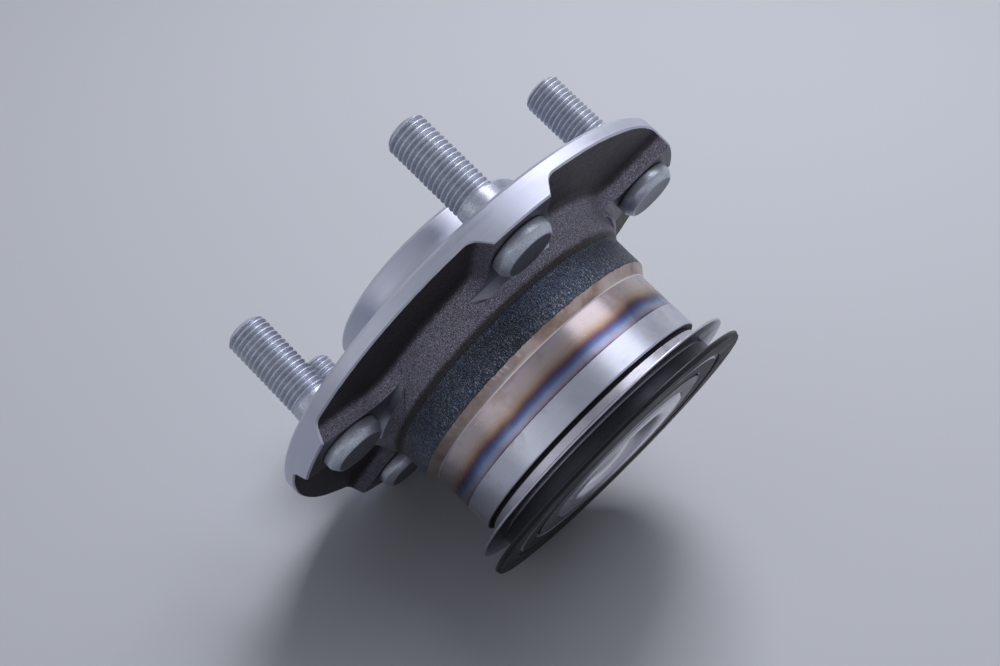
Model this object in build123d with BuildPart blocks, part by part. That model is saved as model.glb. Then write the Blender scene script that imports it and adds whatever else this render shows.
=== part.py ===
"""Wheel hub bearing: a flanged hub that turns on two rows of balls round a fixed spindle.

All sizes are in millimetres. The bearing axis is Z, with +Z outboard, towards the wheel, and
Z = 0 is the face that the brake disc and the wheel are clamped to. The hub is one forging
with the wheel flange, the pilot and both outer raceways. The two inner rings are clamped on a
spindle that passes through them, and stay still while the hub turns.
"""

from build123d import *
import os
from math import cos, radians, sin, sqrt

# ---- Wheel flange -----------------------------------------------------------------------
flange_diameter = 139.4
rim_thickness = 4.4          # flange between the bosses
boss_height = 8.8            # mounting face to the seat of the stud heads
rim_chamfer = 0.9            # outboard edge of the flange
rim_edge_break = 0.4         # inboard edge of the flange
seat_margin = 3.55           # turned stud-head seat, from the heads in towards the neck
seat_lip_height = 2.6        # height of the turned wall where the seat bites into the neck

# ---- Studs ------------------------------------------------------------------------------
stud_count = 5
stud_circle_diameter = 114.3
stud_diameter = 12.0         # M12 x 1.5
stud_reach = 31.3            # stud tip above the mounting face
stud_tip_chamfer = 1.3
stud_knurl_height = 0.3      # knurl above the shank, on the length pressed into the flange
stud_knurl_clear = 1.5       # knurl stops this far short of the mounting face
stud_shoulder_height = 0.1   # plain shoulder above the shank, from the knurl to the face
stud_shoulder_rise = 0.2     # shoulder past the mounting face
stud_head_overhang = 2.6     # head past the shank
stud_head_thickness = 4.6
stud_head_bevel = 1.3        # inboard edge of the head
stud_head_edge_break = 0.5   # outboard edge of the head
first_stud_angle = 90.0

# ---- Relief pockets between the bosses --------------------------------------------------
boss_foot_margin = 4.2       # boss foot, past the stud's head on each side
pocket_inner_margin = 3.2    # pocket foot, outwards from the edge of the stud-head seat
pocket_wall_taper = 38.0     # degrees from the bearing axis
pocket_corner_radius = 4.0
pocket_floor_fillet = 2.6
pocket_tool_top = 14.5       # depth below the mounting face where the pocket tool stops

# ---- Pilot ------------------------------------------------------------------------------
pilot_diameter = 67.0
pilot_height = 17.5
pilot_bore_step = 0.65       # pilot bore past the hub's raceway relief
pilot_chamfer = 1.0
face_relief_width = 3.0      # turned relief round the foot of the pilot
face_relief_depth = 0.8

# ---- Neck and barrel, from the flange inboard --------------------------------------------
neck_diameter = 82.5
neck_fillet_radius = 4.0
neck_fillet_angle = 45.0     # slope where the fillet runs out into the flange
neck_end = -25.2             # sharp edge where turning starts
barrel_chamfer_end = -28.0
barrel_diameter = 78.0
ground_band_diameter = 78.3
ground_band_start = -39.3
ground_band_end = -46.8
ground_band_edge_break = 0.3
ring_seat_diameter = 74.0    # seat of the deflector and the encoder
hub_end = -57.6
hub_end_chamfer = 0.5

# ---- Rolling bearing ---------------------------------------------------------------------
ball_count = 12              # in each row
ball_diameter = 11.112       # 7/16 inch
outboard_row_z = -12.0
row_spacing = 31.5
race_clearance = 0.12        # ball to groove
hub_shoulder_height = 3.45   # land between the rows, above the groove's open side
seal_shoulder_distance = 6.8 # from a row's ball centres to its seal
inboard_seal_bore_step = 1.25  # inboard seal bore past the hub's raceway relief

# ---- Inner rings -------------------------------------------------------------------------
spindle_bore_diameter = 30.0
inner_ring_wall = 3.95       # from the bore to the balls
inner_shoulder_height = 4.85
inner_low_shoulder_height = 0.25
inner_small_end_drop = 0.6   # small end below the low shoulder
inner_small_end_length = 7.0
inner_outboard_end = 3.5
inner_ring_overhang = 0.5    # inboard end past the end of the hub
inner_edge_chamfer = 0.9
bore_edge_chamfer = 1.2
bore_mouth_radius = 3.7      # rounded inboard mouth, clear of the fillet on the spindle
ring_joint_gap = 0.02        # between the two inner rings' small ends
clip_groove_width = 7.0      # across both rings
clip_groove_depth = 1.1
clip_thickness = 0.6
clip_end_gap = 0.3
clip_opening_angle = 24.0

# ---- Cages -------------------------------------------------------------------------------
cage_web = 1.7               # base ring between the balls and mid-bearing
cage_front = 3.2             # finger tips, from the ball centres towards the seal
cage_low_shoulder_gap = 2.7  # base ring to the inner ring
cage_land_gap = 0.8          # base ring to the hub
cage_shoulder_gap = 1.1      # finger tips to the inner ring
cage_relief_gap = 1.55       # finger tips to the hub
cage_pocket_clearance = 0.15

# ---- Pressed rings and seals -------------------------------------------------------------
press_gap = 0.02             # drawn gap of a pressed-on ring
sheet = 0.75                 # thickness of the pressed steel rings
deflector_flare = 8.0        # disc past the ring seat
deflector_length = 3.85
deflector_to_encoder = 0.4   # gap between the two rings on their seat
encoder_flare = 8.7          # disc past the ring seat
encoder_length = 5.05
encoder_setback = 0.5        # flange face short of the end of the hub
magnet_thickness = 0.7
magnet_width = 7.2
magnet_bevel = 0.3
magnet_edge_margin = 0.3     # carrier's rim past the magnet ring
outboard_seal_width = 5.6
seal_lip_reach = 2.1         # free edge of a seal's core to the wiped surface
seal_running_gap = 0.2       # rubber lip to the surface that it wipes
seal_case_setback = 0.4      # inboard seal's case short of the end of the hub
slinger_rim_gap = 0.5        # slinger's rim to the seal's case
slinger_sleeve_gap = 0.3     # slinger's sleeve to the back of the seal
lip_wrap = 0.5               # rubber past the face of the core
lip_root = 1.0               # thickness of the rubber where a lip begins
lip_edge = 0.4               # width of a wiping edge
dust_lip_rise = 1.9          # outboard seal's dust lip, past the core's face
main_lip_drop = 3.2          # outboard seal's main lip, behind the core's face
side_lip_lean = 0.9          # inboard seal's side lip, outwards to the slinger's flange
radial_lip_drop = 1.9        # inboard seal's radial lip, past the core's face

# ---- Worked out --------------------------------------------------------------------------
bore_radius = spindle_bore_diameter / 2
ball_radius = ball_diameter / 2
groove_radius = ball_radius + race_clearance
groove_foot_radius = bore_radius + inner_ring_wall
ball_circle_radius = groove_foot_radius + ball_radius
shoulder_radius = groove_foot_radius + inner_shoulder_height
low_shoulder_radius = groove_foot_radius + inner_low_shoulder_height
small_end_radius = low_shoulder_radius - inner_small_end_drop
relief_radius = ball_circle_radius + ball_radius
land_radius = relief_radius - hub_shoulder_height
inboard_row_z = outboard_row_z - row_spacing
ring_joint_z = outboard_row_z - row_spacing / 2
inner_inboard_end = hub_end - inner_ring_overhang
outboard_seal_shoulder = outboard_row_z + seal_shoulder_distance
inboard_seal_shoulder = inboard_row_z - seal_shoulder_distance
inboard_seal_bore = relief_radius + inboard_seal_bore_step

flange_radius = flange_diameter / 2
stud_circle_radius = stud_circle_diameter / 2
stud_radius = stud_diameter / 2
stud_knurl_radius = stud_radius + stud_knurl_height
stud_head_radius = stud_radius + stud_head_overhang
boss_pitch = 360 / stud_count
boss_foot_half_width = stud_head_radius + boss_foot_margin
seat_inner_radius = stud_circle_radius - stud_head_radius - seat_margin
pocket_inner_radius = seat_inner_radius + pocket_inner_margin
pilot_radius = pilot_diameter / 2
pilot_bore_radius = relief_radius + pilot_bore_step
neck_radius = neck_diameter / 2
band_radius = neck_radius + neck_fillet_radius * (1 - cos(radians(neck_fillet_angle)))
seat_lip_z = -boss_height - seat_lip_height
band_z = seat_lip_z - (seat_inner_radius - band_radius)
neck_start = band_z - neck_fillet_radius * sin(radians(neck_fillet_angle))
barrel_radius = barrel_diameter / 2
ground_radius = ground_band_diameter / 2

ring_seat_radius = ring_seat_diameter / 2
ring_sleeve_radius = ring_seat_radius + press_gap
encoder_radius = ring_seat_radius + encoder_flare
encoder_flange_face = hub_end + encoder_setback
encoder_start = encoder_flange_face + encoder_length
deflector_radius = ring_seat_radius + deflector_flare
deflector_end = encoder_start + deflector_to_encoder
deflector_start = deflector_end + deflector_length
clip_groove_radius = bore_radius + clip_groove_depth
OUTBOARD, INBOARD = 1, -1


def save(part, label):
    """Name a finished piece and write its STEP file."""
    part.label = label
    export_step(part, f"parts/{label}.step")


def polar(centre, radius, angle):
    """Point at an angle in degrees on a circle in the (radius, z) plane."""
    return (centre[0] + radius * cos(radians(angle)), centre[1] + radius * sin(radians(angle)))


def groove_z(row_z, side, radius):
    """Height where a ball groove, on one side of its row, crosses a radius."""
    return row_z + side * sqrt(groove_radius**2 - (radius - ball_circle_radius) ** 2)


def groove_arc(row_z, start_radius, start_side, end_radius, end_side, through):
    """Raceway arc between two radii, by way of a point straight above or below the balls."""
    return ThreePointArc(
        (start_radius, groove_z(row_z, start_side, start_radius)),
        (ball_circle_radius + through * groove_radius, row_z),
        (end_radius, groove_z(row_z, end_side, end_radius)),
    )


def revolved_ring(outline):
    """Solid ring with the given closed (radius, z) outline."""
    with BuildPart() as ring:
        with BuildSketch(Plane.XZ):
            with BuildLine():
                Polyline(*outline, close=True)
            make_face()
        revolve(axis=Axis.Z)
    return ring.part


def relief_pocket():
    """Tool for one pocket: a flared sector with rounded corners, centred on +X.

    It stops at a core that narrows from the stud-head seat to the neck.
    """
    half_pitch = radians(boss_pitch / 2)
    outer_radius = flange_radius + 8

    def flank_point(radius, side):
        along = sqrt(radius**2 - boss_foot_half_width**2)
        x = along * cos(half_pitch) + boss_foot_half_width * sin(half_pitch)
        y = along * sin(half_pitch) - boss_foot_half_width * cos(half_pitch)
        return (x, side * y)

    floor = Plane(origin=(0, 0, -rim_thickness), x_dir=(1, 0, 0), z_dir=(0, 0, -1))
    with BuildPart() as pocket:
        with BuildSketch(floor) as outline:
            with BuildLine():
                Line(flank_point(pocket_inner_radius, 1), flank_point(outer_radius, 1))
                ThreePointArc(flank_point(outer_radius, 1), (outer_radius, 0), flank_point(outer_radius, -1))
                Line(flank_point(outer_radius, -1), flank_point(pocket_inner_radius, -1))
                ThreePointArc(
                    flank_point(pocket_inner_radius, -1),
                    (pocket_inner_radius, 0),
                    flank_point(pocket_inner_radius, 1),
                )
            make_face()
            fillet(outline.vertices().sort_by(Axis.X)[:2], pocket_corner_radius)
        extrude(amount=pocket_tool_top - rim_thickness, taper=-pocket_wall_taper)
        floor_edges = pocket.faces().sort_by(Axis.Z)[-1].edges()
        fillet(floor_edges.sort_by(SortBy.DISTANCE)[:-1], pocket_floor_fillet)
        with BuildSketch(Plane.XZ):
            with BuildLine():
                Polyline(
                    (0, 0),
                    (seat_inner_radius, 0),
                    (seat_inner_radius, -boss_height),
                    (band_radius, band_z),
                    (band_radius, -2 * pocket_tool_top),
                    (0, -2 * pocket_tool_top),
                    close=True,
                )
            make_face()
        revolve(axis=Axis.Z, mode=Mode.SUBTRACT)
    return pocket.part


def hub():
    """Forged and turned hub: pilot, flange with bosses, neck, barrel and both outer raceways."""
    neck_centre = (neck_radius + neck_fillet_radius, neck_start)
    relief_edge = pilot_radius + face_relief_width
    pocket = relief_pocket()
    with BuildPart() as forging:
        with BuildSketch(Plane.XZ):
            with BuildLine():
                Polyline(
                    (pilot_bore_radius, pilot_height - pilot_chamfer),
                    (pilot_bore_radius + pilot_chamfer, pilot_height),
                    (pilot_radius - pilot_chamfer, pilot_height),
                    (pilot_radius, pilot_height - pilot_chamfer),
                    (pilot_radius, -face_relief_depth),
                    (relief_edge, -face_relief_depth),
                    (relief_edge + face_relief_depth, 0),
                    (flange_radius - rim_chamfer, 0),
                    (flange_radius, -rim_chamfer),
                    (flange_radius, -boss_height + rim_edge_break),
                    (flange_radius - rim_edge_break, -boss_height),
                    (seat_inner_radius, -boss_height),
                    (seat_inner_radius, seat_lip_z),
                    (band_radius, band_z),
                )
                ThreePointArc(
                    (band_radius, band_z),
                    polar(neck_centre, neck_fillet_radius, 180 - neck_fillet_angle / 2),
                    (neck_radius, neck_start),
                )
                Polyline(
                    (neck_radius, neck_start),
                    (neck_radius, neck_end),
                    (barrel_radius, barrel_chamfer_end),
                    (barrel_radius, ground_band_start),
                    (ground_radius, ground_band_start),
                    (ground_radius, ground_band_end + ground_band_edge_break),
                    (ground_radius - ground_band_edge_break, ground_band_end),
                    (ring_seat_radius, ground_band_end),
                    (ring_seat_radius, hub_end + hub_end_chamfer),
                    (ring_seat_radius - hub_end_chamfer, hub_end),
                    (inboard_seal_bore, hub_end),
                    (inboard_seal_bore, inboard_seal_shoulder),
                    (relief_radius, inboard_seal_shoulder),
                    (relief_radius, groove_z(inboard_row_z, INBOARD, relief_radius)),
                )
                groove_arc(inboard_row_z, relief_radius, INBOARD, land_radius, OUTBOARD, 1)
                Line(
                    (land_radius, groove_z(inboard_row_z, OUTBOARD, land_radius)),
                    (land_radius, groove_z(outboard_row_z, INBOARD, land_radius)),
                )
                groove_arc(outboard_row_z, land_radius, INBOARD, relief_radius, OUTBOARD, 1)
                Polyline(
                    (relief_radius, groove_z(outboard_row_z, OUTBOARD, relief_radius)),
                    (relief_radius, outboard_seal_shoulder),
                    (pilot_bore_radius, outboard_seal_shoulder),
                    (pilot_bore_radius, pilot_height - pilot_chamfer),
                )
            make_face()
        revolve(axis=Axis.Z)
        with PolarLocations(0, stud_count, start_angle=first_stud_angle + boss_pitch / 2):
            add(pocket, mode=Mode.SUBTRACT)
        with PolarLocations(stud_circle_radius, stud_count, start_angle=first_stud_angle):
            Hole(stud_knurl_radius + press_gap)
    return forging.part


def wheel_stud(angle):
    """Pressed-in wheel stud, headed inboard, at an angle round the stud circle."""
    seat = -boss_height
    x = stud_circle_radius * cos(radians(angle))
    y = stud_circle_radius * sin(radians(angle))
    with BuildPart() as stud:
        with BuildSketch(Plane((x, y, seat - stud_head_thickness))):
            Circle(stud_head_radius)
        extrude(amount=stud_head_thickness)
        chamfer(stud.faces().sort_by(Axis.Z)[0].edges(), stud_head_bevel)
        chamfer(stud.faces().sort_by(Axis.Z)[-1].edges(), stud_head_edge_break)
        with BuildSketch(Plane((x, y, seat))):
            Circle(stud_knurl_radius)
        extrude(amount=boss_height - stud_knurl_clear)
        with BuildSketch(Plane((x, y, -stud_knurl_clear))):
            Circle(stud_radius + stud_shoulder_height)
        extrude(amount=stud_knurl_clear + stud_shoulder_rise)
        with BuildSketch(Plane((x, y, stud_shoulder_rise))):
            Circle(stud_radius)
        extrude(amount=stud_reach - stud_shoulder_rise)
        chamfer(stud.faces().sort_by(Axis.Z)[-1].edges(), stud_tip_chamfer)
    return stud.part


def inner_ring(row_z, side, end_z, mouth):
    """One inner ring. Its high shoulder faces side, +1 outboard or -1 inboard.

    The bore's outer mouth is rounded if mouth is set, and has a plain chamfer if it is not.
    """
    joint = ring_joint_z + side * ring_joint_gap / 2
    groove_edge = ring_joint_z + side * clip_groove_width / 2
    small_end = joint + side * inner_small_end_length
    mouth_size = mouth or bore_edge_chamfer
    bore_end = (bore_radius, end_z - side * mouth_size)
    face_start = (bore_radius + mouth_size, end_z)
    with BuildPart() as ring:
        with BuildSketch(Plane.XZ):
            with BuildLine():
                Polyline(
                    (low_shoulder_radius, groove_z(row_z, -side, low_shoulder_radius)),
                    (low_shoulder_radius, small_end),
                    (small_end_radius, small_end),
                    (small_end_radius, joint),
                    (clip_groove_radius, joint),
                    (clip_groove_radius, groove_edge),
                    (bore_radius, groove_edge),
                    bore_end,
                )
                if mouth:
                    centre = (face_start[0], bore_end[1])
                    ThreePointArc(bore_end, polar(centre, mouth, 180 - side * 45), face_start)
                else:
                    Line(bore_end, face_start)
                Polyline(
                    face_start,
                    (shoulder_radius - inner_edge_chamfer, end_z),
                    (shoulder_radius, end_z - side * inner_edge_chamfer),
                    (shoulder_radius, groove_z(row_z, side, shoulder_radius)),
                )
                groove_arc(row_z, shoulder_radius, side, low_shoulder_radius, -side, -1)
            make_face()
        revolve(axis=Axis.Z)
    return ring.part


def inner_ring_clip():
    """Split spring band in the bore groove that holds the two inner rings together."""
    outer = clip_groove_radius - press_gap
    half_height = clip_groove_width / 2 - clip_end_gap
    with BuildPart() as clip:
        with BuildSketch(Plane.XY.offset(ring_joint_z - half_height)):
            Circle(outer)
            Circle(outer - clip_thickness, mode=Mode.SUBTRACT)
            with BuildLine():
                reach = 2 * outer
                edge = (reach * cos(radians(clip_opening_angle / 2)), reach * sin(radians(clip_opening_angle / 2)))
                Polyline((0, 0), edge, (edge[0], -edge[1]), close=True)
            make_face(mode=Mode.SUBTRACT)
        extrude(amount=2 * half_height)
    return clip.part


def ball(row_z, angle):
    """One ball of a row."""
    x = ball_circle_radius * cos(radians(angle))
    y = ball_circle_radius * sin(radians(angle))
    with BuildPart() as sphere:
        with Locations((x, y, row_z)):
            Sphere(ball_radius)
    return sphere.part


def cage(row_z, side):
    """Snap-in cage: a solid base ring towards mid-bearing and open pockets towards the seal."""
    base_edge = row_z - side * ball_radius
    back = base_edge - side * (cage_pocket_clearance + cage_web)
    front = row_z + side * cage_front
    base_inner = low_shoulder_radius + cage_low_shoulder_gap
    base_outer = land_radius - cage_land_gap
    tip_inner = shoulder_radius + cage_shoulder_gap
    tip_outer = relief_radius - cage_relief_gap
    with BuildPart() as comb:
        with BuildSketch(Plane.XZ):
            with BuildLine():
                Polyline(
                    (base_inner, back),
                    (base_outer, back),
                    (base_outer, base_edge),
                    (tip_outer, front),
                    (tip_inner, front),
                    (base_inner, base_edge),
                    close=True,
                )
            make_face()
        revolve(axis=Axis.Z)
        with Locations((0, 0, row_z)):
            with PolarLocations(ball_circle_radius, ball_count, start_angle=first_stud_angle):
                Cylinder(
                    ball_radius + cage_pocket_clearance,
                    2 * (tip_outer - base_inner),
                    rotation=(0, 90, 0),
                    mode=Mode.SUBTRACT,
                )
    return comb.part


def dust_deflector():
    """Pressed steel ring: a sleeve on the hub's seat, flared out into a thin disc."""
    disc_top = deflector_end + sheet
    return revolved_ring(
        [
            (deflector_radius, deflector_end),
            (ring_sleeve_radius, deflector_end),
            (ring_sleeve_radius, deflector_start),
            (ring_sleeve_radius + sheet, deflector_start),
            (ring_sleeve_radius + sheet, disc_top),
            (deflector_radius, disc_top),
        ]
    )


def encoder_carrier():
    """Pressed steel ring on the end of the hub that carries the encoder's magnet ring."""
    flange_back = encoder_flange_face + sheet
    return revolved_ring(
        [
            (encoder_radius, encoder_flange_face),
            (ring_sleeve_radius, encoder_flange_face),
            (ring_sleeve_radius, encoder_start),
            (ring_sleeve_radius + sheet, encoder_start),
            (ring_sleeve_radius + sheet, flange_back),
            (encoder_radius, flange_back),
        ]
    )


def encoder_magnet_ring():
    """Magnetised rubber ring bonded to the inboard face of its carrier."""
    outer = encoder_radius - magnet_edge_margin
    inner = outer - magnet_width
    face = encoder_flange_face - magnet_thickness
    return revolved_ring(
        [
            (inner, encoder_flange_face),
            (inner, face + magnet_bevel),
            (inner + magnet_bevel, face),
            (outer - magnet_bevel, face),
            (outer, face + magnet_bevel),
            (outer, encoder_flange_face),
        ]
    )


def outboard_seal():
    """Steel core pressed into the pilot bore, and the rubber lips that wipe the inner ring."""
    outer = pilot_bore_radius - press_gap
    back = outboard_seal_shoulder + press_gap
    disc_face = back + outboard_seal_width
    wiped = shoulder_radius + seal_running_gap
    core_edge = wiped + seal_lip_reach
    core = revolved_ring(
        [
            (outer, back),
            (outer, disc_face),
            (core_edge, disc_face),
            (core_edge, disc_face - sheet),
            (outer - sheet, disc_face - sheet),
            (outer - sheet, back),
        ]
    )
    lips = revolved_ring(
        [
            (core_edge, disc_face + lip_wrap),
            (core_edge - lip_root, disc_face + lip_wrap),
            (wiped, disc_face + dust_lip_rise),
            (wiped, disc_face + dust_lip_rise - lip_edge),
            (core_edge - lip_root, disc_face - lip_edge),
            (wiped, disc_face - main_lip_drop),
            (wiped + lip_edge, disc_face - main_lip_drop - lip_edge),
            (core_edge, disc_face - sheet - lip_wrap),
        ]
    )
    return core, lips


def inboard_seal():
    """Cassette seal: core and lips in the hub, slinger on the inner ring, flush with the hub."""
    outer = inboard_seal_bore - press_gap
    back = inboard_seal_shoulder - press_gap
    front = hub_end + seal_case_setback
    sleeve = shoulder_radius + press_gap
    wiped_radius = sleeve + sheet + seal_running_gap
    core_edge = wiped_radius + seal_lip_reach
    core = revolved_ring(
        [
            (outer, back),
            (core_edge, back),
            (core_edge, back - sheet),
            (outer - sheet, back - sheet),
            (outer - sheet, front),
            (outer, front),
        ]
    )
    slinger_rim = outer - sheet - slinger_rim_gap
    slinger_start = back - slinger_sleeve_gap
    slinger = revolved_ring(
        [
            (sleeve, slinger_start),
            (sleeve, hub_end),
            (slinger_rim, hub_end),
            (slinger_rim, hub_end + sheet),
            (sleeve + sheet, hub_end + sheet),
            (sleeve + sheet, slinger_start),
        ]
    )
    wiped_face = hub_end + sheet + seal_running_gap
    lips = revolved_ring(
        [
            (core_edge, back),
            (core_edge, back - sheet - lip_wrap),
            (core_edge + side_lip_lean, wiped_face),
            (core_edge + side_lip_lean - lip_edge, wiped_face),
            (core_edge - lip_edge, back - sheet - lip_root),
            (wiped_radius, back - sheet - radial_lip_drop),
            (wiped_radius, back - sheet - radial_lip_drop + lip_edge),
            (core_edge - lip_root, back),
        ]
    )
    return core, slinger, lips


os.makedirs("parts", exist_ok=True)

save(hub(), "hub")
for number in range(stud_count):
    save(wheel_stud(first_stud_angle + number * boss_pitch), f"wheel_stud_{number + 1}")

save(inner_ring(outboard_row_z, OUTBOARD, inner_outboard_end, None), "inner_ring_outboard")
save(inner_ring(inboard_row_z, INBOARD, inner_inboard_end, bore_mouth_radius), "inner_ring_inboard")
save(inner_ring_clip(), "inner_ring_clip")

for row_name, row_height, seal_side in (
    ("outboard", outboard_row_z, OUTBOARD),
    ("inboard", inboard_row_z, INBOARD),
):
    save(cage(row_height, seal_side), f"cage_{row_name}")
    for number in range(ball_count):
        ball_angle = first_stud_angle + number * 360 / ball_count
        save(ball(row_height, ball_angle), f"ball_{row_name}_{number + 1:02d}")

outboard_core, outboard_lips = outboard_seal()
save(outboard_core, "outboard_seal_core")
save(outboard_lips, "outboard_seal_lips")
inboard_core, inboard_slinger, inboard_lips = inboard_seal()
save(inboard_core, "inboard_seal_core")
save(inboard_lips, "inboard_seal_lips")
save(inboard_slinger, "inboard_seal_slinger")

save(dust_deflector(), "dust_deflector")
save(encoder_carrier(), "encoder_carrier")
save(encoder_magnet_ring(), "encoder_magnet_ring")
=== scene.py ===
"""Looks of the wheel hub bearing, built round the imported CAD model.

Sizes are in millimetres, in the CAD frame: the bearing axis is Z, +Z points outboard and Z = 0
is the face that the wheel is clamped to. A mesh is scaled to metres when it is made. The unit
lies on its side, on the rims of its flange and its encoder, so the floor is a sloping plane in
this frame.
"""

import itertools
import math

import bmesh
import bpy
import numpy as np
from mathutils import Matrix, Vector


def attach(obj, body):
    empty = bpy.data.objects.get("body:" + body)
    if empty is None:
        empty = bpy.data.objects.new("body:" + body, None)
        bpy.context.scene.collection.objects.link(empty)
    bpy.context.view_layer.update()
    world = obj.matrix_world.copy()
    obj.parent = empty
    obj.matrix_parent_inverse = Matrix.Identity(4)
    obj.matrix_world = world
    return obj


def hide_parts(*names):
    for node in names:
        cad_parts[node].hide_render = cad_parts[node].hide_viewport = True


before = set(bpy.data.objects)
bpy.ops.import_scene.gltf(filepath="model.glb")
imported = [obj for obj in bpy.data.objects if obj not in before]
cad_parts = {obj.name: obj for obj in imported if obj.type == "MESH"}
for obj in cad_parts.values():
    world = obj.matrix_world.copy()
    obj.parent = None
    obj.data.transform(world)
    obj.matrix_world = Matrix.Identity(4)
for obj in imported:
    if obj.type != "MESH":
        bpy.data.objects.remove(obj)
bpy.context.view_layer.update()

MM = 0.001

# ---- Sizes, the same as the CAD model's unless a comment says so ---------------------------
FLANGE_RADIUS = 69.7
RIM_THICKNESS = 4.4
BOSS_HEIGHT = 8.8
RIM_CHAMFER = 0.9
RIM_EDGE_BREAK = 0.45
SEAT_INNER_RADIUS = 45.0
SEAT_LIP_HEIGHT = 2.6
STUD_COUNT = 5
STUD_CIRCLE_RADIUS = 57.15
FIRST_STUD_ANGLE = 90.0
BOSS_FOOT_HALF_WIDTH = 12.8
POCKET_INNER_RADIUS = 48.2
POCKET_CORNER_RADIUS = 4.0
POCKET_WALL_TAPER = 38.0
POCKET_FLOOR_FILLET = 4.0    # 2.6 in the CAD, but softer in the photo
PILOT_RADIUS = 33.5
PILOT_BORE_RADIUS = 30.7
PILOT_HEIGHT = 17.5
FACE_RELIEF_WIDTH = 3.0
FACE_RELIEF_DEPTH = 0.8
NECK_RADIUS = 41.25
NECK_FILLET_RADIUS = 4.0
BAND_RADIUS = 42.42
NECK_END = -25.2
BARREL_CHAMFER_END = -28.0
BARREL_RADIUS = 39.0
GROUND_RADIUS = 39.15
GROUND_START = -39.3
GROUND_END = -46.8
RING_SEAT_RADIUS = 37.0
HUB_END = -57.6
SEAL_SHOULDER_OUTBOARD = -5.2
SEAL_SHOULDER_INBOARD = -50.3
INBOARD_SEAL_BORE = 31.3
RELIEF_RADIUS = 30.06
LAND_RADIUS = 26.6
BALL_CIRCLE_RADIUS = 24.5
GROOVE_RADIUS = 5.676
ROWS_Z = (-12.0, -43.5)


# ---- Mesh helpers ------------------------------------------------------------------------
FILLET_STEPS = 5
LATHE_SEGMENTS = 360
MERGE_DISTANCE = 1e-7        # in metres
HASH_PRIMES = (73856093, 19349663, 83492791)
HASH_SEED = 2654435761
HASH_ROUNDS = ((15, 2246822519), (13, 3266489917))
HASH_MASK = 0xFFFFFFFF


def polar(centre, radius, degrees):
    """Point at an angle on a circle in the (radius, z) plane."""
    angle = math.radians(degrees)
    return (centre[0] + radius * math.cos(angle), centre[1] + radius * math.sin(angle))


def rounded(outline):
    """Closed outline with each (x, y, fillet radius) corner turned into an arc."""
    points = []
    count = len(outline)
    for index, (x, y, radius) in enumerate(outline):
        corner = Vector((x, y))
        if not radius:
            points.append((x, y))
            continue
        before = (Vector(outline[index - 1][:2]) - corner).normalized()
        after = (Vector(outline[(index + 1) % count][:2]) - corner).normalized()
        half = before.angle(after) / 2
        reach = radius / math.tan(half)
        centre = corner + (before + after).normalized() * (radius / math.sin(half))
        start = corner + before * reach - centre
        end = corner + after * reach - centre
        turn = start.angle_signed(end)
        for step in range(FILLET_STEPS + 1):
            arm = start.copy()
            arm.rotate(Matrix.Rotation(-turn * step / FILLET_STEPS, 2))
            points.append(tuple(centre + arm))
    return points


def finish_mesh(
    name, verts, faces, materials, body, nodes, face_materials=None, shades=None, sharp=35
):
    """Mesh object from points in millimetres, riding on a body and standing for CAD nodes.

    shades are named point attributes, and edges sharper than sharp, in degrees, stay crisp.
    """
    mesh = bpy.data.meshes.new(name)
    mesh.from_pydata((np.asarray(verts) * MM).tolist(), [], faces)
    for shade, values in (shades or {}).items():
        layer = mesh.attributes.new(shade, "FLOAT", "POINT")
        layer.data.foreach_set("value", values.astype(np.float32))
    for material in materials:
        mesh.materials.append(material)
    if face_materials is not None:
        mesh.polygons.foreach_set("material_index", np.asarray(face_materials, np.int32))
    cleaner = bmesh.new()
    cleaner.from_mesh(mesh)
    bmesh.ops.remove_doubles(cleaner, verts=cleaner.verts, dist=MERGE_DISTANCE)
    bmesh.ops.recalc_face_normals(cleaner, faces=cleaner.faces)
    cleaner.to_mesh(mesh)
    cleaner.free()
    mesh.shade_smooth()
    mesh.set_sharp_from_angle(angle=math.radians(sharp))
    piece = bpy.data.objects.new(name, mesh)
    bpy.context.scene.collection.objects.link(piece)
    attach(piece, body)
    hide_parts(*nodes)


def grid_faces(rows, columns, close_rows):
    """Quads of a grid that is closed round its columns, and round its rows if close_rows."""
    faces = []
    for row in range(rows if close_rows else rows - 1):
        this = row * columns
        following = ((row + 1) % rows) * columns
        for column in range(columns):
            right = (column + 1) % columns
            faces.append((this + column, this + right, following + right, following + column))
    return faces


def lathe(name, outline, material, body, nodes):
    """Ring turned from a closed (radius, z, fillet) outline."""
    profile = np.array(rounded(outline))
    angle = np.arange(LATHE_SEGMENTS) * 2 * np.pi / LATHE_SEGMENTS
    radius = profile[:, :1]
    height = np.repeat(profile[:, 1:], LATHE_SEGMENTS, 1)
    verts = np.stack([radius * np.cos(angle), radius * np.sin(angle), height], -1)
    faces = grid_faces(len(profile), LATHE_SEGMENTS, True)
    finish_mesh(name, verts.reshape(-1, 3), faces, [material], body, nodes)


def lattice_noise(points, cell, seed):
    """Smooth noise from -1 to 1 on points, with hashed values on a lattice of that cell size."""
    position = points / np.asarray(cell, float)
    base = np.floor(position).astype(np.int64)
    part = position - base
    part = part * part * (3 - 2 * part)
    total = np.zeros(points.shape[:-1])
    for corner in itertools.product((0, 1), repeat=3):
        cell_index = base + corner
        mixed = np.full(points.shape[:-1], seed * HASH_SEED, np.int64)
        for axis, prime in enumerate(HASH_PRIMES):
            mixed ^= cell_index[..., axis] * prime
        mixed &= HASH_MASK
        for shift, factor in HASH_ROUNDS:
            mixed = (mixed ^ (mixed >> shift)) * factor & HASH_MASK
        mixed ^= mixed >> 16
        weight = np.prod(np.where(corner, part, 1 - part), -1)
        total += weight * (mixed / (HASH_MASK >> 1) - 1)
    return total


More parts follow.
